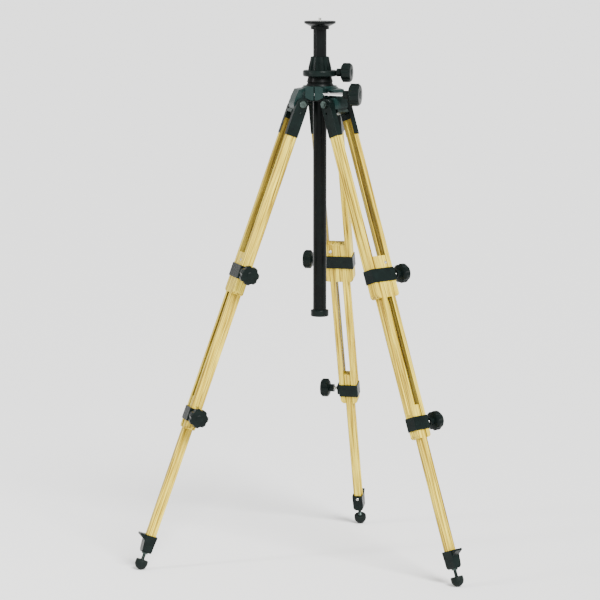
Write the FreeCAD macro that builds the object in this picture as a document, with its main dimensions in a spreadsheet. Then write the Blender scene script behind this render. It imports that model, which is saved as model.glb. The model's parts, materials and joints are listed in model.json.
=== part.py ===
import FreeCAD, Part
import math
import os
import Sketcher
from FreeCAD import Placement, Rotation, Vector

# A three-section wooden tripod: a hub that clamps a levelling ball, a metal centre column with a
# camera plate, and three legs of ash rails with metal caps, clamps, shoes and screw-on rubber feet.
# Frame: the origin is the centre of the plate's upper face, +Z runs up the column, and the rear
# leg leans towards +Y. Heights are given above the floor, stations are measured along a leg from
# its pivot, and everything is in millimetres and degrees.

SIZES = [
    ("plate_height", 1209, "upper face of the camera plate above the floor"),
    ("leg_angle", 19.7, "lean of a standing leg from the vertical"),
    ("pivot_radius", 49.3, "leg pivot from the column's axis"),
    ("pivot_height", 1028, "leg pivot above the floor"),
    ("running_gap", 0.1, "clearance on each side of a sliding or turning piece"),
    ("seat_gap", 0.02, "clearance of a fixed fit"),
    ("upper_gap", 41, "between the two upper rails"),
    ("upper_width", 14, "width of an upper rail"),
    ("rail_depth", 25, "depth of the upper and middle rails"),
    ("upper_end", 443.6, "station of the upper rails' lower end"),
    ("middle_top", 350.6, "station of the middle rails' upper end"),
    ("middle_end", 760.6, "station of the middle rails' lower end"),
    ("middle_slot", 16, "between the two middle rails"),
    ("tongue_end", 706, "station where the middle rails' tongues end"),
    ("lower_top", 686.6, "station of the lower rail's upper end"),
    ("lower_end", 1031.6, "station of the lower rail's lower end, inside the shoe"),
    ("lower_depth", 22, "depth of the lower rail"),
    ("tongue_depth", 2.8, "how far a guide tongue stands out"),
    ("tongue_width", 8, "guide tongue at its root"),
    ("edge_break", 1.2, "chamfer along the rails"),
    ("end_round", 10, "rounded outer corner at a rail's lower end"),
    ("cap_head", 12.5, "radius of a cap's head around the pivot"),
    ("cap_length", 73.6, "station of a cap's lower edge"),
    ("cap_socket", 38, "station where the rail starts inside its cap"),
    ("cap_wall", 1.5, "wall of a cap outside its rail"),
    ("pivot_bolt", 10, "pivot bolt diameter"),
    ("bolt_head", 16, "pivot bolt head diameter"),
    ("nut_flats", 15, "pivot nut across its flats"),
    ("catch_pin", 5, "catch pin diameter"),
    ("catch_in", 2.7, "catch pin inside the rails' centre line"),
    ("catch_station", 20, "station of the catch pin"),
    ("catch_width", 34, "catch lever"),
    ("clamp_height", 30, "height of a leg clamp band"),
    ("clamp_wall", 2, "thickness of a leg clamp band"),
    ("clamp_boss", 5, "boss of a leg clamp band"),
    ("upper_clamp", 393.6, "station of the upper clamp's middle"),
    ("lower_clamp", 727.4, "station of the lower clamp's middle"),
    ("clamp_stud", 8, "clamp screw diameter"),
    ("stud_pad", 12, "pressure pad diameter"),
    ("neck_stand", 15.5, "start of a leg knob's neck from the rail's side"),
    ("knob_neck", 18, "neck diameter of the knobs"),
    ("leg_knob", 43, "star knob diameter on the legs and the column"),
    ("ball_knob", 50, "star knob diameter on the ball clamp"),
    ("shoe_top", 1011.6, "station of a shoe's upper edge"),
    ("shoe_length", 40, "length of a shoe"),
    ("shoe_width", 24, "shoe across the leg"),
    ("shoe_depth", 28, "shoe along the lean, at its upper edge"),
    ("step_reach", 12.5, "step lug on a shoe"),
    ("step_width", 20, "step lug on a shoe"),
    ("foot_stem", 8, "threaded stem diameter"),
    ("foot_radius", 14, "rubber foot"),
    ("foot_flat", 8, "foot's upper face above its centre"),
    ("ball_height", 1051, "centre of the levelling ball above the floor"),
    ("ball_radius", 35, "levelling ball"),
    ("seat_wall", 1.5, "nylon seat around the ball"),
    ("collar_radius", 41, "hub collar"),
    ("collar_drop", 14, "hub collar below the ball's centre"),
    ("rim_radius", 37.5, "hub rim"),
    ("rim_rise", 16, "hub rim above the ball's centre"),
    ("ear_half", 20, "half width of the hub's clamping ears"),
    ("ear_reach", 54, "ears from the column's axis"),
    ("clamp_slit", 2.5, "slit between the ears"),
    ("rod_reach", 45, "ball clamp rod from the column's axis"),
    ("rod_drop", 1, "ball clamp rod below the ball's centre"),
    ("rod_head", 11.4, "head of the ball clamp rod"),
    ("rod_sink", 5, "how far the rod's head is sunk into its ear"),
    ("neck_top", 36, "ball casting above the ball's centre"),
    ("flange_radius", 38, "column clamp flange"),
    ("flange_height", 14, "column clamp flange"),
    ("sleeve_height", 44, "column clamp with its ribbed sleeve"),
    ("column_diameter", 30, "centre column"),
    ("column_bore", 24, "inside of the centre column"),
    ("column_top", 1199.5, "upper end of the column above the floor"),
    ("column_bottom", 567, "lower end of the column above the floor"),
    ("plate_diameter", 70, "camera plate"),
    ("plate_rim", 5, "camera plate's edge"),
    ("plate_collar", 41, "collar under the camera plate"),
    ("camera_stud", 6.35, "camera screw diameter"),
    ("camera_stud_length", 7, "camera screw above the plate"),
    ("cap_diameter", 40, "cap under the column"),
    ("cap_depth", 15, "cap under the column"),
]

os.makedirs("parts", exist_ok=True)
doc = FreeCAD.newDocument("field_tripod")
sheet = doc.addObject("Spreadsheet::Sheet", "Sizes")
for row, (alias, number, note) in enumerate(SIZES, start=1):
    sheet.set(f"A{row}", alias)
    sheet.set(f"B{row}", str(number))
    sheet.set(f"C{row}", note)
    sheet.setAlias(f"B{row}", alias)
doc.recompute()


class Size:
    """A number together with the expression that gives it from the sheet."""

    def __init__(self, value, text):
        self.value, self.text = float(value), text

    def joined(self, sign, other, value):
        return Size(value, f"({self.text} {sign} {other.text})")

    def __add__(self, other):
        other = as_size(other)
        return self.joined("+", other, self.value + other.value)

    def __sub__(self, other):
        other = as_size(other)
        return self.joined("-", other, self.value - other.value)

    def __mul__(self, other):
        other = as_size(other)
        return self.joined("*", other, self.value * other.value)

    def __truediv__(self, other):
        other = as_size(other)
        return self.joined("/", other, self.value / other.value)

    def __neg__(self):
        return self * -1


def as_size(number):
    return number if isinstance(number, Size) else Size(number, f"({float(number)})")


def cell(alias):
    return Size(sheet.get(alias), f"Sizes.{alias}")


def bind(thing, name, size):
    """Tie one property or constraint of an object to the sheet."""
    thing.setExpression(name, as_size(size).text)


def rectangle(x_low, x_high, y_low, y_high):
    return [(x_low, y_low), (x_high, y_low), (x_high, y_high), (x_low, y_high)]


def mirrored(points):
    """The same outline on the other side of the vertical axis."""
    return [(-as_size(x), y) for x, y in reversed(points)]


def draw(sketch, shape):
    """Draw a circle (x, y, radius), or a closed outline of points, held by driven constraints."""
    first = sketch.GeometryCount

    def hold(kind, geometry, vertex, size):
        size = as_size(size)
        number = sketch.addConstraint(
            Sketcher.Constraint(kind, -1, 1, geometry, vertex, size.value)
        )
        bind(sketch, f"Constraints[{number}]", size)

    if isinstance(shape, tuple):
        x, y, radius = [as_size(value) for value in shape]
        sketch.addGeometry(Part.Circle(Vector(x.value, y.value, 0), Vector(0, 0, 1), radius.value))
        hold("DistanceX", first, 3, x)
        hold("DistanceY", first, 3, y)
        number = sketch.addConstraint(Sketcher.Constraint("Radius", first, radius.value))
        bind(sketch, f"Constraints[{number}]", radius)
        return
    corners = [(as_size(x), as_size(y)) for x, y in shape]
    spots = [Vector(x.value, y.value, 0) for x, y in corners]
    count = len(spots)
    for index in range(count):
        sketch.addGeometry(Part.LineSegment(spots[index], spots[(index + 1) % count]))
    for index, (x, y) in enumerate(corners):
        after = first + (index + 1) % count
        sketch.addConstraint(Sketcher.Constraint("Coincident", first + index, 2, after, 1))
        hold("DistanceX", first + index, 1, x)
        hold("DistanceY", first + index, 1, y)


class Piece:
    """One separate piece: a body whose features take their sizes from the sheet."""

    def __init__(self, name, place):
        self.body = doc.addObject("PartDesign::Body", name)
        self.body.Label = name
        self.body.AllowCompound = True
        self.body.Placement = place
        pieces.append(self.body)

    def add(self, kind):
        return self.body.newObject(kind, f"{self.body.Label}_step")

    def origin(self, role):
        return next(item for item in self.body.Origin.OriginFeatures if item.Role == role)

    def sketch(self, plane, shapes, offset=0):
        sketch = self.add("Sketcher::SketchObject")
        sketch.AttachmentSupport = (self.origin(plane), [""])
        sketch.MapMode = "FlatFace"
        bind(sketch, ".AttachmentOffset.Base.z", offset)
        for shape in shapes:
            draw(sketch, shape)
        return sketch

    def checked(self, feature, grows):
        """Recompute, and make sure that the feature added or removed material."""
        before = self.volume()
        self.body.Tip = feature
        doc.recompute()
        change = self.volume() - before
        if "Invalid" in feature.State or (change > 0) != grows or abs(change) < 1e-6:
            raise RuntimeError(f"{feature.Label} changed the volume by {change}")
        return feature

    def volume(self):
        shape = self.body.Tip.Shape if self.body.Tip else None
        return 0 if shape is None or shape.isNull() else shape.Volume

    def extrude(self, kind, plane, shapes, length, offset, middle, grows):
        profile = self.sketch(plane, shapes, offset)
        before = self.body.Tip
        feature = self.add(kind)
        feature.Profile = profile
        feature.SideType = "Symmetric" if middle else "One side"
        bind(feature, "Length", length)
        self.body.Tip = before
        return self.checked(feature, grows)

    def pad(self, plane, shapes, length, offset=0, middle=False):
        return self.extrude("PartDesign::Pad", plane, shapes, length, offset, middle, True)

    def cut(self, plane, shapes, length, offset=0):
        """Cut both ways from the sketch's plane."""
        return self.extrude("PartDesign::Pocket", plane, shapes, length, offset, True, False)

    def turn(self, outline):
        """A turned shape: the outline's points are (radius, height)."""
        profile = self.sketch("XZ_Plane", [outline])
        before = self.body.Tip
        feature = self.add("PartDesign::Revolution")
        feature.Profile = profile
        feature.ReferenceAxis = (profile, ["V_Axis"])
        feature.Angle = 360
        self.body.Tip = before
        return self.checked(feature, True)

    def sphere(self, kind, radius, low=-90, high=90):
        before = self.body.Tip
        feature = self.add(f"PartDesign::{kind}Sphere")
        bind(feature, "Radius", radius)
        feature.Angle1, feature.Angle2 = low, high
        self.body.Tip = before
        return self.checked(feature, kind == "Additive")

    def repeat(self, features, count, grows):
        """Repeat features evenly around the vertical axis."""
        before = self.body.Tip
        pattern = self.add("PartDesign::PolarPattern")
        pattern.Originals = features
        pattern.Axis = (self.origin("Z_Axis"), [""])
        pattern.Angle = 360
        pattern.Occurrences = count
        self.body.Tip = before
        return self.checked(pattern, grows)

    def mirror(self):
        """Add the same piece on the other side of the YZ plane."""
        before = self.body.Tip
        twin = self.add("PartDesign::Mirrored")
        twin.TransformMode = "Whole shape"
        twin.MirrorPlane = (self.origin("YZ_Plane"), [""])
        self.body.Tip = before
        return self.checked(twin, True)

    def round(self, radius, choose):
        """Round the edges that choose(edge) picks."""
        base = self.body.Tip
        edges = [f"Edge{n}" for n, edge in enumerate(base.Shape.Edges, 1) if choose(edge)]
        feature = self.add("PartDesign::Fillet")
        feature.Base = (base, edges)
        bind(feature, "Radius", radius)
        self.body.Tip = base
        return self.checked(feature, False)


def along(edge, axis):
    """Is this a straight edge along one of the piece's axes (0, 1 or 2)?"""
    ends = edge.Vertexes
    if len(ends) < 2 or edge.Curve.TypeId != "Part::GeomLine":
        return False
    step = ends[1].Point - ends[0].Point
    return all(abs(step[other]) < 1e-6 for other in range(3) if other != axis)


def rim(edge, height, radius):
    """Is this a full circle of that radius at that height?"""
    if edge.Curve.TypeId != "Part::GeomCircle":
        return False
    level = abs(edge.Curve.Center.z - height.value) < 1e-6
    return level and abs(edge.Curve.Radius - radius.value) < 1e-6


pieces = []
gap = cell("running_gap")
snug = cell("seat_gap")
half_gap = cell("upper_gap") / 2
half_depth = cell("rail_depth") / 2
upper_side = half_gap + cell("upper_width")
middle_side = half_gap - gap
half_slot = cell("middle_slot") / 2
lower_side = half_slot - gap
cap_side = upper_side + cell("cap_wall")
column_radius = cell("column_diameter") / 2


def height(size):
    """Placement on the column's axis at a height above the floor."""
    return Placement(Vector(0, 0, size.value - cell("plate_height").value), Rotation())


def leg_frame(azimuth):
    """At the pivot: X across the leg, Y out of its front, Z up along it."""
    turn = Rotation(Vector(0, 0, 1), -azimuth)
    spot = turn.multVec(Vector(0, cell("pivot_radius").value, height(cell("pivot_height")).Base.z))
    return Placement(spot, turn.multiply(Rotation(Vector(1, 0, 0), cell("leg_angle").value)))


def moved(frame, x=0, y=0, z=0, spin=Rotation()):
    return frame.multiply(Placement(Vector(x, y, z), spin))


def rail_section(inner, outer, depth, grooved):
    """Section of one rail, with or without the guide groove in its inner side."""
    edge = cell("edge_break")
    points = [(inner, -depth), (outer - edge, -depth), (outer, -depth + edge), (outer, depth - edge),
              (outer - edge, depth), (inner, depth)]
    if grooved:
        wide = cell("tongue_width") / 2 + gap
        deep = inner + cell("tongue_depth") + gap
        points += [(inner, wide), (deep, wide - 1), (deep, -wide + 1), (inner, -wide)]
    return points


def tongue_section(side):
    """Section of the guide tongue on a rail's outer side."""
    root = cell("tongue_width") / 2
    reach = side + cell("tongue_depth")
    return [(side - 1, -root), (side, -root), (reach, -root + 1), (reach, root - 1), (side, root),
            (side - 1, root)]


def build_knob(name, place, radius, neck, thickness, bore, depth):
    """Seven-lobed star knob whose neck starts at the local origin and points along +Z."""
    knob = Piece(name, place)
    top = neck + thickness
    half_neck = cell("knob_neck") / 2
    knob.turn([
        (bore, 0), (half_neck, 0), (half_neck, neck - 2), (radius * 0.75, neck), (radius, neck + 4),
        (radius, top - 5), (radius * 0.85, top - 1), (radius * 0.4, top), (0, top),
        (0, depth), (bore, depth),
    ])
    flute = (radius * 1.13, 0, radius * 0.27)
    notch = knob.cut("XY_Plane", [flute], thickness * 2 - 1, offset=top)
    knob.repeat([notch], 7, False)
    return knob


def build_clamp(name, frame, station, side):
    """Band around the rails, with a boss and bore for its screw on the -X side."""
    band = Piece(name, moved(frame, z=-station.value))
    wall = cell("clamp_wall")
    inner_x, inner_y = side + snug, half_depth + snug
    outer_x, outer_y = inner_x + wall, inner_y + wall
    bevel = wall
    ring = [
        (-outer_x, -outer_y + bevel), (-outer_x + bevel, -outer_y), (outer_x - bevel, -outer_y),
        (outer_x, -outer_y + bevel), (outer_x, outer_y - bevel), (outer_x - bevel, outer_y),
        (-outer_x + bevel, outer_y), (-outer_x, outer_y - bevel),
    ]
    tall = cell("clamp_height")
    band.pad("XY_Plane", [ring, rectangle(-inner_x, inner_x, -inner_y, inner_y)], tall, middle=True)
    boss = cell("clamp_boss")
    face = outer_x + boss
    boss_height = tall - 6
    band.pad("XY_Plane", [rectangle(-face, -outer_x, -outer_y + 5, outer_y - 5)], boss_height, middle=True)
    band.round(3, lambda edge: along(edge, 1) and edge.CenterOfMass.x < -face.value + 0.01)
    bore = cell("clamp_stud") / 2 + gap
    band.cut("YZ_Plane", [(0, 0, bore)], boss * 2 + 4, offset=-face)
    recess = cell("stud_pad") / 2 + gap
    band.cut("YZ_Plane", [(0, 0, recess)], wall * 2 + snug, offset=-inner_x)
    return band


def build_leg_knob(name, frame, station, side):
    """Clamp screw with its pressure pad, and the star knob on it, pointing along the leg's -X."""
    start = side + cell("neck_stand")
    place = moved(frame, x=-start.value, z=-station.value, spin=Rotation(Vector(0, 1, 0), -90))
    stand = cell("neck_stand")
    stud = cell("clamp_stud") / 2
    pad = cell("stud_pad") / 2
    tip = -stand + gap
    seat = -stand + cell("clamp_wall") - gap
    screw = Piece(f"{name}_screw", place)
    screw.turn([(0, tip), (pad, tip), (pad, seat), (stud, seat), (stud, 14), (0, 14)])
    build_knob(f"{name}_knob", place, cell("leg_knob") / 2, as_size(11.5), as_size(20), stud + snug, 15)


def build_caps(side, frame):
    """The two cast caps: heads on the pivot bolt, channels around the rails' upper ends."""
    caps = Piece(f"{side}_leg_caps", frame)
    head = cell("cap_head")
    thick = cap_side - half_gap
    front = half_depth + 1
    length = cell("cap_length")
    shank = [(-head + 1, 0), (head - 1, 0), (front, -12), (front, -length), (-front, -length), (-front, -12)]
    caps.pad("YZ_Plane", [shank], thick, offset=half_gap)
    caps.round(2, lambda edge: along(edge, 2) and edge.CenterOfMass.x > cap_side.value - 0.01)
    caps.pad("YZ_Plane", [(0, 0, head)], thick, offset=half_gap)
    socket = cell("cap_socket")
    channel = rectangle(half_gap - 1, upper_side + snug, -half_depth - snug, half_depth + snug)
    caps.cut("XY_Plane", [channel], (length - socket) * 2, offset=-length)
    bolt = cell("pivot_bolt") / 2 + snug
    pin = cell("catch_pin") / 2 + gap
    across = cap_side * 2 + 10
    caps.cut("YZ_Plane", [(0, 0, bolt), (-cell("catch_in"), -cell("catch_station"), pin)], across)
    caps.mirror()


def build_pivot_bolt(side, frame):
    """Bolt through both caps and the hub's arm, with a hexagon nut on its far end."""
    bolt = Piece(f"{side}_pivot_bolt", moved(frame, spin=Rotation(Vector(0, 1, 0), 90)))
    radius = cell("pivot_bolt") / 2
    head = cell("bolt_head") / 2
    start, end = -cap_side, cap_side + 8
    bolt.turn([(0, start - 5), (head - 2, start - 5), (head, start - 3), (head, start), (radius, start),
               (radius, end), (0, end)])
    flats = cell("nut_flats") / 2
    corner = flats / math.cos(math.pi / 6)
    hexagon = [(corner * math.cos(math.pi * k / 3), corner * math.sin(math.pi * k / 3)) for k in range(6)]
    bolt.pad("XY_Plane", [hexagon, (0, 0, radius + snug)], 6, offset=cap_side)


def build_catch(side, frame):
    """Flip-down lever between the caps, whose nose bears on the heel of the hub's arm."""
    place = moved(frame, y=-cell("catch_in").value, z=-cell("catch_station").value)
    catch = Piece(f"{side}_angle_catch", place)
    lever = [(11.2, 9.1), (15.9, 3.4), (17.7, 3), (17.7, -3), (4.7, -6), (-3.8, -4), (-3.8, 3), (-0.3, 4.5)]
    catch.pad("YZ_Plane", [lever], cell("catch_width"), middle=True)
    catch.pad("YZ_Plane", [(0, 0, cell("catch_pin") / 2)], half_gap * 2 + 20, middle=True)


def build_rails(side, frame):
    """Upper and middle rails in pairs, the spreader block, and the single lower rail."""
    start, end = cell("cap_socket"), cell("upper_end")
    rail = rail_section(half_gap, upper_side, half_depth, True)
    upper = Piece(f"{side}_upper_rails", moved(frame, z=-end.value))
    upper.pad("XY_Plane", [rail, mirrored(rail)], end - start)
    upper.round(cell("end_round"), lambda edge: along(edge, 1) and outer_end(edge, upper_side))

    start, end = cell("middle_top"), cell("middle_end")
    rail = rail_section(half_slot, middle_side, half_depth, True)
    middle = Piece(f"{side}_middle_rails", moved(frame, z=-end.value))
    middle.pad("XY_Plane", [rail, mirrored(rail)], end - start)
    middle.round(cell("end_round") * 0.93, lambda edge: along(edge, 1) and outer_end(edge, middle_side))
    tongue = tongue_section(middle_side)
    below = end - cell("tongue_end")
    middle.pad("XY_Plane", [tongue, mirrored(tongue)], end - start - below, offset=below)

    long = cell("upper_end") - start
    block = Piece(f"{side}_spreader_block", moved(frame, z=-start.value))
    block.pad("XY_Plane", [rectangle(-half_slot, half_slot, -half_depth, half_depth)],
              long, offset=-long)

    start, end = cell("lower_top"), cell("lower_end")
    deep = cell("lower_depth") / 2
    edge = cell("edge_break")
    lower = Piece(f"{side}_lower_rail", moved(frame, z=-end.value))
    bar = [(-lower_side, -deep + edge), (-lower_side + edge, -deep), (lower_side - edge, -deep),
           (lower_side, -deep + edge), (lower_side, deep - edge), (lower_side - edge, deep),
           (-lower_side + edge, deep), (-lower_side, deep - edge)]
    lower.pad("XY_Plane", [bar], end - start)
    tongue = tongue_section(lower_side)
    lower.pad("XY_Plane", [tongue, mirrored(tongue)], end - start)


def outer_end(edge, side):
    """Does this edge lie on a rail's outer side, at its lower end?"""
    middle = edge.CenterOfMass
    return abs(middle.z) < 1e-6 and abs(abs(middle.x) - side.value) < 1e-6


def build_foot(side, frame):
    """Cast shoe on the lower rail, its threaded stem and the round rubber foot."""
    shoe = Piece(f"{side}_foot_shoe", moved(frame, z=-cell("shoe_top").value))
    length = cell("shoe_length")
    half_x, half_y = cell("shoe_width") / 2, cell("shoe_depth") / 2
    socket = cell("lower_end") - cell("shoe_top")
    waist = half_y - 1.6
    cup = [(-half_y, 0), (-waist, -socket - 1), (-waist + 0.6, -length), (waist - 2.2, -length),
           (waist, -socket - 1), (half_y, 0)]
    shoe.pad("YZ_Plane", [cup], half_x * 2, middle=True)
    shoe.round(8, lambda edge: along(edge, 1) and abs(edge.CenterOfMass.z + length.value) < 1e-6)
    step = [(half_y - 3, -14), (half_y - 3, 0), (half_y + cell("step_reach"), 0),
            (half_y + cell("step_reach"), -4)]
    shoe.pad("YZ_Plane", [step], cell("step_width"), middle=True)
    tongue = lower_side + cell("tongue_depth")
    deep = cell("lower_depth") / 2 + snug
    shoe.cut("XY_Plane", [rectangle(-tongue - snug, tongue + snug, -deep, deep)], socket * 2)
    stem = cell("foot_stem") / 2
    shoe.cut("XY_Plane", [(0, 0, stem + snug)], length + 10, offset=-length)

    spindle = Piece(f"{side}_foot_stem", moved(frame, z=-cell("shoe_top").value))
    foot_drop = foot_station - cell("shoe_top").value
    collar = stem + 2.5
    spindle.turn([(0, -socket - 1), (stem, -socket - 1), (stem, -length), (collar, -length),
                  (collar, -length - 3), (stem, -length - 3), (stem, -foot_drop + 4), (0, -foot_drop + 4)])

    foot = Piece(f"{side}_rubber_foot", moved(frame, z=-foot_station))
    radius, flat = cell("foot_radius"), cell("foot_flat")
    foot.sphere("Additive", radius, -90, 0)
    foot.turn([(0, 0), (radius, 0), (radius, flat - 3), (radius - 2, flat), (0, flat)])
    foot.cut("XY_Plane", [(0, 0, stem + gap)], (flat - 3) * 2, offset=flat)


def build_leg(side, azimuth):
    frame = leg_frame(azimuth)
    build_caps(side, frame)
    build_pivot_bolt(side, frame)
    build_catch(side, frame)
    build_rails(side, frame)
    build_clamp(f"{side}_upper_clamp", frame, cell("upper_clamp"), upper_side)
    build_leg_knob(f"{side}_upper", frame, cell("upper_clamp"), upper_side)
    build_clamp(f"{side}_lower_clamp", frame, cell("lower_clamp"), middle_side)
    build_leg_knob(f"{side}_lower", frame, cell("lower_clamp"), middle_side)
    build_foot(side, frame)


def build_hub():
    """Slit collar around the ball, three arms for the legs, and two clamping ears at the front."""
    hub = Piece("hub", height(cell("ball_height")))
    wall, low = cell("collar_radius"), -cell("collar_drop")
    crest, high = cell("rim_radius"), cell("rim_rise")
    hub.turn([(0, low), (wall, low), (wall, high - 4), (crest, high - 2), (crest, high), (0, high)])
    half_arm = half_gap - gap
    axis = cell("pivot_radius")
    drop = cell("pivot_height") - cell("ball_height")
    arm = [
        (20, low), (20, 11), (40, 11), (axis + 4, 9), (axis + 12.5, drop + 15), (axis + 16.3, drop + 1),
        (axis + 16.3, drop - 9.8), (axis + 8, drop - 4.8), (axis, drop - 7), (axis - 11.5, drop + 1),
        (34, low),
    ]
    web = hub.pad("YZ_Plane", [arm], half_arm * 2, middle=True)
    lug = hub.pad("YZ_Plane", [(axis, drop, cell("cap_head"))], half_arm * 2, middle=True)
    hub.repeat([web, lug], 3, True)
    ear = cell("ear_half")
    ears = [(-ear, -8), (-8, low), (8, low), (ear, -8), (ear, high - 3), (14, high), (-14, high),
            (-ear, high - 3)]
    hub.pad("XZ_Plane", [ears], cell("ear_reach") - 36, offset=36)
    hub.sphere("Subtractive", cell("ball_radius") + cell("seat_wall") + 0.06)
    slit = cell("clamp_slit") / 2
    hub.cut("XZ_Plane", [rectangle(-slit, slit, -30, 30)], 50, offset=50)
    across, down = -cell("rod_reach"), -cell("rod_drop")
    hub.cut("YZ_Plane", [(across, down, 4)], ear * 2 + 10)
    sink = (across, down, cell("rod_head") / 2 + gap)
    hub.cut("YZ_Plane", [sink], (cell("rod_sink") + gap) * 2, offset=-ear)
    hub.cut("YZ_Plane", [(across, down, 7.5)], 50, offset=ear + 25)
    bore = hub.cut("YZ_Plane", [(axis, drop, cell("pivot_bolt") / 2 + gap)], half_arm * 2 + 4)
    hub.repeat([bore], 3, False)


def build_ball():
    """Nylon seat, and the ball casting with its bell-shaped neck, bored for the column."""
    radius, wall = cell("ball_radius"), cell("seat_wall")
    seat = Piece("ball_seat", height(cell("ball_height")))
    outside = radius + wall
    seat.sphere("Additive", outside, -21.5, 25)
    seat.sphere("Subtractive", radius + 0.06)
    seat.cut("XZ_Plane", [rectangle(-1, 1, -30, 30)], 50, offset=50)

    ball = Piece("levelling_ball", height(cell("ball_height")))
    ball.sphere("Additive", radius, -31, 38)
    top = cell("neck_top")
    ball.turn([(0, 0), (27, 0), (27, 21), (28.9, 24.3), (26, top), (0, top)])
    ball.cut("XY_Plane", [(0, 0, column_radius + gap)], 120)


def build_column_clamp():
    """Round flange with a ribbed sleeve above it, bored for the column and its locking screw."""
    clamp = Piece("column_clamp", height(cell("ball_height") + cell("neck_top")))
    wide, thick, top = cell("flange_radius"), cell("flange_height"), cell("sleeve_height")
    clamp.turn([(0, 0), (wide, 0), (wide, thick), (23, thick), (21.5, 30), (19, top), (0, top)])
    rib = clamp.pad("YZ_Plane", [[(16, thick - 2), (26, thick - 2), (25.5, 20), (21.5, 36), (20.5, top - 1),
                                  (16, top - 1)]], 6, middle=True)
    clamp.repeat([rib], 8, True)
    clamp.round(4, lambda edge: rim(edge, as_size(0), wide) or rim(edge, thick, wide))
    clamp.cut("XY_Plane", [(0, 0, column_radius + gap)], 120)
    clamp.cut("YZ_Plane", [(0, thick - 5, cell("clamp_stud") / 2 + gap)], 40, offset=wide - 3)


def build_column():
    """Tube, camera plate, camera screw and end cap, which move as one."""
    tube = Piece("column_tube", height(cell("column_bottom")))
    inner = cell("column_bore") / 2
    tall = cell("column_top") - cell("column_bottom")
    tube.pad("XY_Plane", [(0, 0, column_radius), (0, 0, inner)], tall)

    plate = Piece("camera_plate", Placement())
    wide, rim_depth, collar = cell("plate_diameter") / 2, cell("plate_rim"), cell("plate_collar") / 2
    shoulder = cell("camera_stud") / 2 + 1
    seat = cell("plate_height") - cell("column_top")
    plate.turn([(0, 0), (wide - 0.8, 0), (wide, -0.8), (wide, -rim_depth), (collar, -12), (collar, -18),
                (0, -18)])
    plate.cut("XY_Plane", [(0, 0, column_radius + snug)], (-seat + 18) * 2, offset=-18)
    plate.cut("XY_Plane", [(0, 0, shoulder + snug)], 30)

    screw = Piece("camera_screw", Placement())
    stud, tall = cell("camera_stud") / 2, cell("camera_stud_length")
    screw.turn([(0, -seat - 4), (7, -seat - 4), (7, -seat), (shoulder, -seat), (shoulder, 0), (stud, 0),
                (stud, tall - 0.6), (stud - 0.6, tall), (0, tall)])

    base = Piece("column_cap", height(cell("column_bottom") - cell("cap_depth")))
    wide, deep = cell("cap_diameter") / 2, cell("cap_depth")
    base.turn([(0, 0), (wide, 0), (wide, deep), (inner - snug, deep), (inner - snug, deep + 20),
               (0, deep + 20)])
    base.round(2.5, lambda edge: rim(edge, as_size(0), wide) or rim(edge, deep, wide))


def build_head_knobs():
    """Locking screw and knob of the column, clamp rod and knob of the ball, both along +X."""
    sideways = Rotation(Vector(0, 1, 0), 90)
    stud = cell("clamp_stud") / 2
    start = cell("flange_radius") + 1
    clamp_frame = height(cell("ball_height") + cell("neck_top") + cell("flange_height") - 5)
    place = moved(clamp_frame, x=start.value, spin=sideways)
    screw = Piece("column_clamp_screw", place)
    tip = column_radius - start + 0.4
    screw.turn([(0, tip), (stud, tip), (stud, 14), (0, 14)])
    build_knob("column_clamp_knob", place, cell("leg_knob") / 2, as_size(11), as_size(23), stud + snug, 15)

    neck_start = 64
    frame = height(cell("ball_height") - cell("rod_drop"))
    place = moved(frame, x=neck_start, y=-cell("rod_reach").value, spin=sideways)
    rod = Piece("ball_clamp_rod", place)
    end, head = -cell("ear_half") - neck_start, cell("rod_head") / 2
    shoulder = end + cell("rod_sink")
    thin, sleeve, washer = as_size(3.9), as_size(4.65), as_size(6.5)
    rod.turn([(0, end), (head, end), (head, shoulder), (thin, shoulder), (thin, -34), (washer, -34),
              (washer, -31), (sleeve, -31), (sleeve, 0), (thin, 0), (thin, 16), (0, 16)])
    build_knob("ball_clamp_knob", place, cell("ball_knob") / 2, as_size(14), as_size(25), thin + snug, 17)


foot_station = (cell("pivot_height").value - cell("foot_radius").value) / math.cos(
    math.radians(cell("leg_angle").value)
)
build_hub()
build_ball()
build_column_clamp()
build_column()
build_head_knobs()
for side, azimuth in (("rear", 0), ("right", 120), ("left", 240)):
    build_leg(side, azimuth)

doc.recompute()
for item in doc.Objects:
    if "Invalid" in item.State or "Error" in item.State:
        raise RuntimeError(f"{item.Label} failed: {item.State}")
for piece in pieces:
    if piece.Shape.isNull() or not piece.Shape.isValid() or not piece.Shape.Solids:
        raise RuntimeError(f"{piece.Label} has no valid shape")
    piece.Shape.exportStep(f"parts/{piece.Label}.step")
    print(f"{piece.Label}: {len(piece.Shape.Solids)} solids, {piece.Shape.Volume / 1000:.2f} cm3")
print(f"{len(pieces)} nodes")
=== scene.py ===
import json
import math

import bpy
from mathutils import Matrix, Vector


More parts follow.
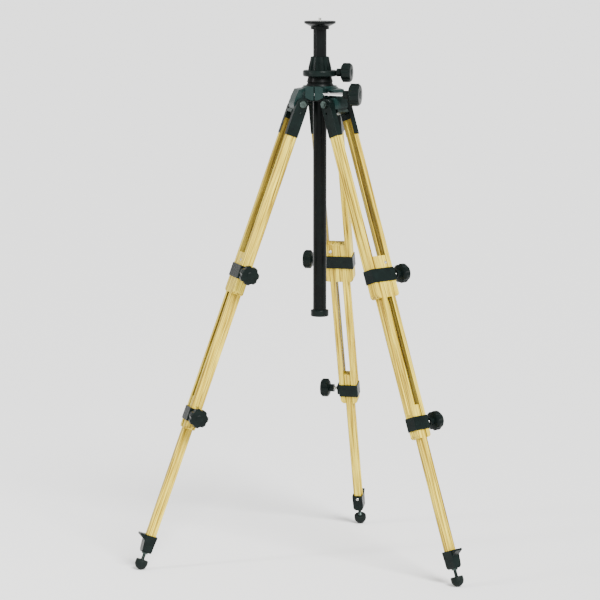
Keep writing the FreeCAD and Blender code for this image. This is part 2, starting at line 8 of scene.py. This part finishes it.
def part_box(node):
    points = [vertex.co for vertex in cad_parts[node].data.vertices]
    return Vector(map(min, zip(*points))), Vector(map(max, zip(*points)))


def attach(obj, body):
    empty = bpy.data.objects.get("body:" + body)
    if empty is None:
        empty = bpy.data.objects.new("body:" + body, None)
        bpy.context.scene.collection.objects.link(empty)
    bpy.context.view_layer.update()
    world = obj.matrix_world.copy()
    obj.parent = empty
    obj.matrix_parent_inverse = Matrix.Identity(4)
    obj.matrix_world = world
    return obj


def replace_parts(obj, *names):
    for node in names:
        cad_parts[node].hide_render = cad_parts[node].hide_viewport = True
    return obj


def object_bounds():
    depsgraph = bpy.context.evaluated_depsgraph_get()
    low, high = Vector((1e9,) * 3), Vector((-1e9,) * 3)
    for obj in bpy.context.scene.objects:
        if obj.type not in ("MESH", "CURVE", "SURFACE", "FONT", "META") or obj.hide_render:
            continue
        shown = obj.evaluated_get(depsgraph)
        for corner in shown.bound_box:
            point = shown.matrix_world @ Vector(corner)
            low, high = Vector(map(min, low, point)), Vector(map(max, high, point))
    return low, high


# Looks for a wooden field tripod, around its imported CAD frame. Metres everywhere; the origin is the
# centre of the camera plate's upper face. A leg's own frame has X across the leg, Y out of its
# front and Z up along it, with the origin on its pivot.

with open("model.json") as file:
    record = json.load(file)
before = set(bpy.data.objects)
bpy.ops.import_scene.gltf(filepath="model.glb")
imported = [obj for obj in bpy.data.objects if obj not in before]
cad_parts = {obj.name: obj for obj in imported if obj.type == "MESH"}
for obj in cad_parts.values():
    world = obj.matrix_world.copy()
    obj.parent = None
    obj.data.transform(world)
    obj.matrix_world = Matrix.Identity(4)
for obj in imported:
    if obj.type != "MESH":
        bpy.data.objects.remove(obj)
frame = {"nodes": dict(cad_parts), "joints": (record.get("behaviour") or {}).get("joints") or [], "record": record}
cad_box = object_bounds()
nodes = frame["nodes"]
joints = {joint["name"]: joint for joint in frame["joints"]}
slots = {entry["node"]: entry["material_slot"] for entry in frame["record"]["subparts"]}

SIDES = ("rear", "right", "left")
# Corners of a full turn.
STEPS = 48


def leg_frame(side):
    """Frame of a standing leg: its pivot, its hinge line and the direction it slides in."""
    across = Vector(joints[f"{side}_spread"]["axis"])
    along = Vector(joints[f"{side}_middle_slide"]["axis"])
    place = Matrix((across, along.cross(across), along)).transposed().to_4x4()
    place.translation = Vector(joints[f"{side}_spread"]["pos_m"])
    return place


legs = {side: leg_frame(side) for side in SIDES}
# Frames whose Z points out of a leg's knob, and out of the knobs beside the column.
OUT_OF_LEG = Matrix.Rotation(math.radians(-90), 4, "Y")
OUT_OF_HEAD = Matrix.Rotation(math.radians(90), 4, "Y")


def span(node, place):
    """Lowest and highest corner of a CAD node, measured in another frame."""
    inverse = place.inverted()
    spots = [inverse @ vertex.co for vertex in nodes[node].data.vertices]
    return Vector(map(min, zip(*spots))), Vector(map(max, zip(*spots)))


# Materials


def new_material(name, base, rough, metal=0.0):
    """A principled material with its node tree and shader."""
    material = bpy.data.materials.new(name)
    material.use_nodes = True
    shader = material.node_tree.nodes["Principled BSDF"]
    shader.inputs["Base Color"].default_value = (*base, 1)
    shader.inputs["Roughness"].default_value = rough
    shader.inputs["Metallic"].default_value = metal
    return material, material.node_tree, shader


def add_node(tree, kind, **values):
    """Add a node; a value names either one of its inputs or one of its settings."""
    node = tree.nodes.new(kind)
    for name, value in values.items():
        socket = node.inputs.get(name.replace("_", " "))
        if socket is not None:
            socket.default_value = value
        else:
            setattr(node, name, value)
    return node


def ramp(tree, source, stops):
    """Turn a value from 0 to 1 into a colour through (place, colour) stops."""
    node = add_node(tree, "ShaderNodeValToRGB")
    band = node.color_ramp
    while len(band.elements) < len(stops):
        band.elements.new(0.5)
    for element, (place, colour) in zip(band.elements, stops):
        element.position = place
        element.color = (*colour, 1)
    tree.links.new(source, node.inputs["Fac"])
    return node.outputs["Color"]


def tint(tree, colour, by, amount):
    """Multiply a colour by another one, by an amount from 0 to 1."""
    factor, first, second, result = 0, 6, 7, 2
    node = add_node(tree, "ShaderNodeMix", data_type="RGBA", blend_type="MULTIPLY")
    node.inputs[factor].default_value = amount
    tree.links.new(colour, node.inputs[first])
    tree.links.new(by, node.inputs[second])
    return node.outputs[result]


def remap(tree, source, low, high):
    """Stretch a 0 to 1 value onto another range."""
    node = add_node(tree, "ShaderNodeMapRange", To_Min=low, To_Max=high)
    tree.links.new(source, node.inputs["Value"])
    return node.outputs["Result"]


def bump(tree, shader, source, strength, distance):
    node = add_node(tree, "ShaderNodeBump", Strength=strength, Distance=distance)
    tree.links.new(source, node.inputs["Height"])
    tree.links.new(node.outputs["Normal"], shader.inputs["Normal"])


def noise(tree, vector, scale, detail=2.0, roughness=0.5):
    node = add_node(tree, "ShaderNodeTexNoise", Scale=scale, Detail=detail, Roughness=roughness)
    tree.links.new(vector, node.inputs["Vector"])
    return node.outputs["Fac"]


def leg_coordinates(tree, place, output="Object"):
    """A piece's coordinates, or its normals, in a leg's frame."""
    coordinates = add_node(tree, "ShaderNodeTexCoord")
    leg = add_node(tree, "ShaderNodeMapping", vector_type="TEXTURE")
    if output == "Object":
        leg.inputs["Location"].default_value = place.translation
    leg.inputs["Rotation"].default_value = place.to_euler("XYZ")
    tree.links.new(coordinates.outputs[output], leg.inputs["Vector"])
    return leg.outputs["Vector"]


def grain_coordinates(tree, place, shift, squeeze):
    """Coordinates in a leg's frame, moved by a shift and squeezed along the grain."""
    grain = add_node(tree, "ShaderNodeMapping")
    grain.inputs["Location"].default_value = (shift, shift * 0.7, shift * 1.3)
    grain.inputs["Scale"].default_value = (1, 1, squeeze)
    tree.links.new(leg_coordinates(tree, place), grain.inputs["Vector"])
    return grain.outputs["Vector"]


def sideways(tree, vector):
    """Size of a vector's part across the leg."""
    parts = add_node(tree, "ShaderNodeSeparateXYZ")
    tree.links.new(vector, parts.inputs["Vector"])
    size = add_node(tree, "ShaderNodeMath", operation="ABSOLUTE")
    tree.links.new(parts.outputs["X"], size.inputs[0])
    return size.outputs["Value"]


# Least part of a normal across the leg on a face that looks that way.
FACING = 0.8


def facing_each_other(tree, place, reach):
    """1 on the faces inside a pair of rails, which look across the leg and lie within reach of its middle: where
    ash gets its painted shade.
    """
    turned_in = add_node(tree, "ShaderNodeMath", operation="GREATER_THAN")
    tree.links.new(sideways(tree, leg_coordinates(tree, place, "Normal")), turned_in.inputs[0])
    turned_in.inputs[1].default_value = FACING
    close = add_node(tree, "ShaderNodeMath", operation="LESS_THAN")
    tree.links.new(sideways(tree, leg_coordinates(tree, place)), close.inputs[0])
    close.inputs[1].default_value = reach
    both = add_node(tree, "ShaderNodeMath", operation="MULTIPLY")
    tree.links.new(turned_in.outputs["Value"], both.inputs[0])
    tree.links.new(close.outputs["Value"], both.inputs[1])
    return both.outputs["Value"]


# Ash: growth wood from pale to deep, and the tints of its pores, of its slow change of tone along the leg, and of
# the painted shade on the faces inside a pair of rails.
ASH_LIGHT, ASH_MID, ASH_DEEP = (0.90, 0.73, 0.080), (0.54, 0.385, 0.020), (0.19, 0.112, 0.004)
PORE_TINT, SHADE_TINT, PAINTED_SHADE_TINT = (0.46, 0.38, 0.22), (0.80, 0.74, 0.60), (0.39, 0.375, 0.50)
PLAIN = (1, 1, 1)
GROWTH_BANDS = [(0.34, ASH_DEEP), (0.42, ASH_MID), (0.50, ASH_LIGHT), (0.57, ASH_MID), (0.61, ASH_DEEP),
                (0.66, ASH_LIGHT)]


def ash(name, place, shift, reach):
    """Oiled ash: growth bands, fine dark pore lines and a slow change of tone along the leg.

    The faces inside a pair of rails, up to that reach from the leg's middle, are darkened with painted shade.
    """
    material, tree, shader = new_material(name, ASH_LIGHT, 0.42)
    shader.inputs["Specular IOR Level"].default_value = 0.25
    bands = noise(tree, grain_coordinates(tree, place, shift, 0.020), 145, 3.0, 0.66)
    colour = ramp(tree, bands, GROWTH_BANDS)
    lines = noise(tree, grain_coordinates(tree, place, shift, 0.009), 820, 2.0, 0.75)
    pores = ramp(tree, lines, [(0.38, PORE_TINT), (0.52, PLAIN)])
    colour = tint(tree, colour, pores, 0.75)
    slow = noise(tree, grain_coordinates(tree, place, shift, 0.25), 28, 1.0)
    shade = ramp(tree, slow, [(0.32, SHADE_TINT), (0.62, PLAIN)])
    colour = tint(tree, colour, shade, 0.9)
    # Painted shade on the faces inside a pair of rails, up to the reach.
    painted_slot_shade = ramp(tree, facing_each_other(tree, place, reach), [(0.0, PLAIN), (1.0, PAINTED_SHADE_TINT)])
    colour = tint(tree, colour, painted_slot_shade, 1.0)
    tree.links.new(colour, shader.inputs["Base Color"])
    tree.links.new(remap(tree, lines, 0.58, 0.34), shader.inputs["Roughness"])
    bump(tree, shader, lines, 0.25, 0.0003)
    return material


def painted(name, base, edge, rough, scale, strength, gloss):
    """Painted or anodised metal, or moulded plastic: uneven skin, patchy sheen, slight dust."""
    material, tree, shader = new_material(name, base, rough)
    coordinates = add_node(tree, "ShaderNodeTexCoord").outputs["Object"]
    skin = noise(tree, coordinates, scale)
    patches = noise(tree, coordinates, 38, 3.0, 0.6)
    colour = ramp(tree, patches, [(0.35, base), (0.75, edge)])
    tree.links.new(colour, shader.inputs["Base Color"])
    tree.links.new(remap(tree, patches, rough - 0.08, rough + 0.10), shader.inputs["Roughness"])
    shader.inputs["Specular IOR Level"].default_value = gloss
    bump(tree, shader, skin, strength, 0.0005)
    return material


def metal(name, base, dull, rough):
    """Bare or plated metal with a fine bumpy skin and faint clouding."""
    material, tree, shader = new_material(name, base, rough, 1.0)
    coordinates = add_node(tree, "ShaderNodeTexCoord").outputs["Object"]
    clouds = noise(tree, coordinates, 90, 3.0, 0.6)
    colour = ramp(tree, clouds, [(0.35, dull), (0.65, base)])
    tree.links.new(colour, shader.inputs["Base Color"])
    tree.links.new(remap(tree, clouds, rough + 0.12, rough - 0.05), shader.inputs["Roughness"])
    bump(tree, shader, noise(tree, coordinates, 1500), 0.06, 0.0002)
    return material


# Base and dusty colour, roughness, fineness and depth of the skin, gloss.
PAINTS = {
    "hub_casting": ((0.005, 0.016, 0.0145), (0.008, 0.023, 0.021), 0.26, 520, 0.40, 0.20),
    "black_casting": ((0.003, 0.0055, 0.005), (0.005, 0.010, 0.009), 0.27, 800, 0.28, 0.09),
    "black_anodised": ((0.003, 0.0035, 0.0035), (0.004, 0.006, 0.0055), 0.30, 1400, 0.05, 0.08),
    "knob_plastic": ((0.003, 0.0055, 0.005), (0.005, 0.009, 0.008), 0.33, 1100, 0.18, 0.09),
    "foot_rubber": ((0.004, 0.007, 0.006), (0.008, 0.012, 0.011), 0.55, 900, 0.25, 0.09),
    "seat_nylon": ((0.62, 0.60, 0.50), (0.55, 0.52, 0.42), 0.45, 900, 0.05, 0.3),
}
# Base and dull colour, roughness.
METALS = {
    "bright_steel": ((0.66, 0.66, 0.62), (0.52, 0.52, 0.48), 0.26),
    "dark_steel": ((0.085, 0.115, 0.105), (0.045, 0.060, 0.055), 0.32),
    "chrome_rod": ((0.86, 0.87, 0.87), (0.80, 0.81, 0.80), 0.12),
}
materials = {name: painted(name, *look) for name, look in PAINTS.items()}
materials.update({name: metal(name, *look) for name, look in METALS.items()})

# Where along the grain each kind of piece is cut, and the step from one leg to the next.
ASH_SHIFT = {"upper_rails": 0.0, "middle_rails": 1.7, "spreader_block": 3.1, "lower_rail": 4.3}
LEG_SHIFT = 7
# Outer part of a paired rail that the painted shade on its inner face doesn't reach.
RAIL_CORE = 0.006


def wood_material(name):
    """Each wooden piece has its own stretch of grain."""
    side, piece = name.split("_", 1)
    shift = ASH_SHIFT[piece] + LEG_SHIFT * SIDES.index(side)
    _, high = span(name, legs[side])
    reach = high.x - RAIL_CORE if piece.endswith("rails") else 0.0
    return ash(f"ash_{name}", legs[side], shift, reach)


def dress(thing, material):
    thing.data.materials.clear()
    thing.data.materials.append(material)


# Seams closer than this are welded, and edges sharper than this are rounded.
WELD_GAP = 0.000005
SHARP = math.radians(34)
EDGE_WIDTH = {"ash_wood": 0.0005, "hub_casting": 0.0012, "black_casting": 0.0008, "knob_plastic": 0.0009,
              "foot_rubber": 0.0008}
THIN_EDGE = 0.0003


def soften(thing, width):
    """Smooth shading, and rounded edges by modifiers."""
    for polygon in thing.data.polygons:
        polygon.use_smooth = True
    normals = thing.data.attributes.get("custom_normal")
    if normals is not None:
        thing.data.attributes.remove(normals)
    weld = thing.modifiers.new("weld", "WELD")
    weld.merge_threshold = WELD_GAP
    edges = thing.modifiers.new("edges", "BEVEL")
    edges.width = width
    edges.segments = 2
    edges.limit_method = "ANGLE"
    edges.angle_limit = SHARP
    edges.use_clamp_overlap = True
    edges.harden_normals = True


for name, thing in nodes.items():
    slot = slots[name]
    dress(thing, wood_material(name) if slot == "ash_wood" else materials[slot])
    soften(thing, EDGE_WIDTH.get(slot, THIN_EDGE))


# Added pieces, all of them turned around their own Z axis


def hexagon(flats):
    """Radii of a hexagon with that width across its flats, at each step of a turn."""
    sector = math.pi / 3
    turns = (2 * math.pi * step / STEPS for step in range(STEPS))
    return [flats / 2 / math.cos(turn % sector - sector / 2) for turn in turns]


def thread(low, high, crest, root, pitch, rows=6):
    """Rings of a screw thread from low to high: (radii, height) each, faded out at both ends."""
    count = max(2, round((high - low) / pitch * rows))
    rings = []
    for row in range(count + 1):
        height = low + (high - low) * row / count
        fade = min(1, (height - low) / pitch, (high - height) / pitch)
        radii = []
        for step in range(STEPS):
            turn = (height / pitch - step / STEPS) % 1
            radii.append(crest - (crest - root) * fade * (1 - abs(2 * turn - 1)))
        rings.append((radii, height))
    return rings


def turned(name, rings, place, body, slot):
    """A closed piece whose rings are (radius or radii, height); rings of no radius close its ends."""
    spots, faces, rows = [], [], []
    for radii, height in rings:
        if radii == 0:
            spots.append((0, 0, height))
            rows.append([len(spots) - 1] * STEPS)
            continue
        radii = radii if isinstance(radii, list) else [radii] * STEPS
        rows.append(list(range(len(spots), len(spots) + STEPS)))
        for step, radius in enumerate(radii):
            angle = 2 * math.pi * step / STEPS
            spots.append((radius * math.cos(angle), radius * math.sin(angle), height))
    for below, above in zip(rows, rows[1:]):
        for step in range(STEPS):
            after = (step + 1) % STEPS
            corners = [below[step], below[after], above[after], above[step]]
            faces.append(list(dict.fromkeys(corners)))
    mesh = bpy.data.meshes.new(name)
    mesh.from_pydata(spots, [], faces)
    mesh.shade_smooth()
    mesh.set_sharp_from_angle(angle=SHARP)
    piece = bpy.data.objects.new(name, mesh)
    bpy.context.scene.collection.objects.link(piece)
    piece.matrix_world = place
    dress(piece, materials[slot])
    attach(piece, body)
    return piece


def at(place, x=0.0, y=0.0, z=0.0):
    return place @ Matrix.Translation((x, y, z))


# How deep an added screw head is sunk into the face it sits on.
SUNK = 0.0008


def add_socket_screw(name, place, body, radius):
    """Domed screw head with a hexagon socket, standing on the frame's XY plane."""
    rim, hole = radius * 0.85, hexagon(radius * 0.95)
    turned(name, [(0, -SUNK), (radius, -SUNK), (radius, radius * 0.2), (rim, radius * 0.42),
                  (radius * 0.62, radius * 0.5), (hole, radius * 0.45), (hole, 0.0002), (0, 0.0)],
           place, body, "bright_steel")


def add_knob_face(name, knob, place, body):
    """Cover disc pressed into the middle of a star knob; the frame's Z points out of the knob."""
    low, high = span(knob, place)
    centre = at(place, (low.x + high.x) / 2, (low.y + high.y) / 2, high.z)
    radius = (high.x - low.x) * 0.19
    turned(name, [(0, -0.001), (radius, -0.001), (radius, 0.0003), (radius - 0.0006, 0.0007),
                  (radius * 0.55, 0.0009), (0, 0.0010)], centre, body, "knob_plastic")


# Threads of the clamp screws and foot stems, and of the camera screw.
M8_RADIUS, M8_PITCH = 0.004, 0.00125
CAMERA_RADIUS, CAMERA_PITCH = 0.003175, 0.00127
STEM_DEPTH = CAMERA_DEPTH = 0.0007
CLAMP_DEPTH = M8_PITCH * 0.55
# Pressure pad on a leg's clamp screw, and the end of any clamp screw that its knob hides.
PAD, HIDDEN_END = 0.0019, 0.014


def add_clamp_screw(screw, place, body, pad):
    """Stand in for a CAD clamp screw along the frame's Z: its pad stays plain, its shank has a thread."""
    low, high = span(screw, place)
    wide = (high.x - low.x) / 2
    axis = at(place, (low.x + high.x) / 2, (low.y + high.y) / 2)
    start, end = low.z + pad, high.z - HIDDEN_END
    rings = [(0, low.z)]
    if pad:
        rings += [(wide, low.z), (wide, start), (M8_RADIUS, start)]
    rings += thread(start + 0.0001, end - 0.0001, M8_RADIUS, M8_RADIUS - CLAMP_DEPTH, M8_PITCH)
    rings += [(M8_RADIUS, end), (M8_RADIUS, high.z), (0, high.z)]
    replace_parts(turned(f"{screw}_thread", rings, axis, body, "bright_steel"), screw)


def add_stop_screws(side, leg):
    """Stop screw through a middle rail, just under its upper end, seen on both faces."""
    across, down, radius = -0.0142, 0.0165, 0.0035
    low, high = span(f"{side}_middle_rails", leg)
    for label, face, turn in (("front", high.y, -90), ("back", low.y, 90)):
        place = at(leg, across, face, high.z - down) @ Matrix.Rotation(math.radians(turn), 4, "X")
        add_socket_screw(f"{side}_stop_screw_{label}", place, f"{side}_middle", radius)


def add_shoe_screw(side, leg):
    """Fixing screw through the inner face of the shoe, which leans away from it."""
    lean, down, radius = 0.0009, 0.0085, 0.0032
    low, high = span(f"{side}_foot_shoe", leg)
    place = at(leg, 0, low.y + lean, high.z - down) @ Matrix.Rotation(math.radians(90), 4, "X")
    add_socket_screw(f"{side}_shoe_screw", place, f"{side}_lower", radius)


def add_foot_stem(side, leg):
    """Threaded stem with its hexagon collar under the shoe."""
    collar, collar_height = hexagon(0.0122), 0.003
    stem = f"{side}_foot_stem"
    low, high = span(stem, leg)
    shoe_end = span(f"{side}_foot_shoe", leg)[0].z
    rings = [(0, low.z), (M8_RADIUS, low.z)]
    rings += thread(low.z + 0.0012, shoe_end - collar_height - 0.0002, M8_RADIUS, M8_RADIUS - STEM_DEPTH,
                    M8_PITCH)
    rings += [(collar, shoe_end - collar_height), (collar, shoe_end), (M8_RADIUS, shoe_end),
              (M8_RADIUS, high.z), (0, high.z)]
    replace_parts(turned(f"{stem}_thread", rings, leg, f"{side}_lower", "dark_steel"), stem)


def add_rubber_foot(side, leg):
    """Rubber foot: a ball below, a flat rim above, and the stem's recess in it."""
    foot = f"{side}_rubber_foot"
    low, high = span(foot, leg)
    radius = (high.x - low.x) / 2
    centre = low.z + radius
    rows = STEPS // 4
    rings = [(0, low.z)]
    for row in range(1, rows + 1):
        angle = math.pi / 2 * row / rows
        rings.append((radius * math.sin(angle), centre - radius * math.cos(angle)))
    recess, floor = M8_RADIUS + 0.0002, centre - 0.002
    rings += [(radius, high.z - 0.003), (radius - 0.0004, high.z - 0.0013), (radius - 0.0014, high.z),
              (recess, high.z), (recess, floor), (0, floor)]
    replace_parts(turned(f"{foot}_ball", rings, leg, f"{side}_foot", "foot_rubber"), foot)


def add_camera_screw():
    """Camera screw: its hidden head and shoulder, then the thread above the plate."""
    low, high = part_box("camera_screw")
    head, head_height = (high.x - low.x) / 2, 0.004
    shoulder = CAMERA_RADIUS + 0.001
    rings = [(0, low.z), (head, low.z), (head, low.z + head_height), (shoulder, low.z + head_height),
             (shoulder, 0), (CAMERA_RADIUS, 0)]
    rings += thread(0.0003, high.z - 0.0008, CAMERA_RADIUS, CAMERA_RADIUS - CAMERA_DEPTH, CAMERA_PITCH)
    rings += [(CAMERA_RADIUS - 0.0006, high.z), (0, high.z)]
    screw = turned("camera_screw_thread", rings, Matrix.Identity(4), "column", "bright_steel")
    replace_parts(screw, "camera_screw")


for side, leg in legs.items():
    outward = leg @ OUT_OF_LEG
    for section in ("upper", "lower"):
        body = f"{side}_{section}_knob_set"
        knob = f"{side}_{section}_knob"
        add_knob_face(f"{knob}_cover", knob, outward, body)
        add_clamp_screw(f"{side}_{section}_screw", outward, body, PAD)
    add_stop_screws(side, leg)
    add_shoe_screw(side, leg)
    add_foot_stem(side, leg)
    add_rubber_foot(side, leg)

add_knob_face("column_knob_cover", "column_clamp_knob", OUT_OF_HEAD, "column_knob")
add_knob_face("ball_knob_cover", "ball_clamp_knob", OUT_OF_HEAD, "ball_knob")
add_clamp_screw("column_clamp_screw", OUT_OF_HEAD, "column_knob", 0.0)
add_camera_screw()


# Camera and light


def add_camera():
    """Long lens a little above the camera plate, seeing the tripod a little from its right."""
    turn, dip = 14.0, 7.365
    data = bpy.data.cameras.new("camera")
    camera = bpy.data.objects.new("camera", data)
    bpy.context.scene.collection.objects.link(camera)
    data.sensor_width = 36
    data.lens = 185.1
    camera.location = (1.6096, -6.6376, 0.262)
    camera.rotation_euler = (math.radians(90 - dip), 0, math.radians(turn))
    bpy.context.scene.camera = camera


def add_area(name, spot, target, size, power):
    """Rectangular light at a spot, turned to its target."""
    data = bpy.data.lights.new(name, "AREA")
    data.shape = "RECTANGLE"
    data.size, data.size_y = size
    data.energy = power
    light = bpy.data.objects.new(name, data)
    bpy.context.scene.collection.objects.link(light)
    light.location = spot
    light.rotation_euler = (Vector(target) - Vector(spot)).to_track_quat("-Z", "Y").to_euler()


def add_sun(bearing, height, strength, softness):
    """Broad distant light from a bearing, in degrees from the front (-Y) towards +X, and a height."""
    data = bpy.data.lights.new("key", "SUN")
    data.energy = strength
    data.angle = math.radians(softness)
    light = bpy.data.objects.new("key", data)
    bpy.context.scene.collection.objects.link(light)
    light.rotation_euler = (math.radians(90 - height), 0, math.radians(bearing))


def add_studio():
    """Pale floor and surroundings, a soft key light from the front right and a strip on the left."""
    reach, under_feet = 60, 0.0004
    mesh = bpy.data.meshes.new("floor")
    mesh.from_pydata([(-reach, -reach, 0), (reach, -reach, 0), (reach, reach, 0), (-reach, reach, 0)],
                     [], [(0, 1, 2, 3)])
    floor = bpy.data.objects.new("floor", mesh)
    bpy.context.scene.collection.objects.link(floor)
    floor.location.z = cad_box[0].z - under_feet
    material, _, _ = new_material("floor", (0.95, 0.95, 0.945), 0.9)
    dress(floor, material)
    world = bpy.data.worlds.new("studio")
    bpy.context.scene.world = world
    world.use_nodes = True
    background = world.node_tree.nodes["Background"]
    background.inputs["Color"].default_value = (1, 1, 0.99, 1)
    background.inputs["Strength"].default_value = 0.85
    add_sun(40, 42, 7.0, 24)
    add_area("strip", (-1.6, -1.2, 0.6), (0, 0, -0.3), (0.25, 1.6), 26)


add_camera()
add_studio()
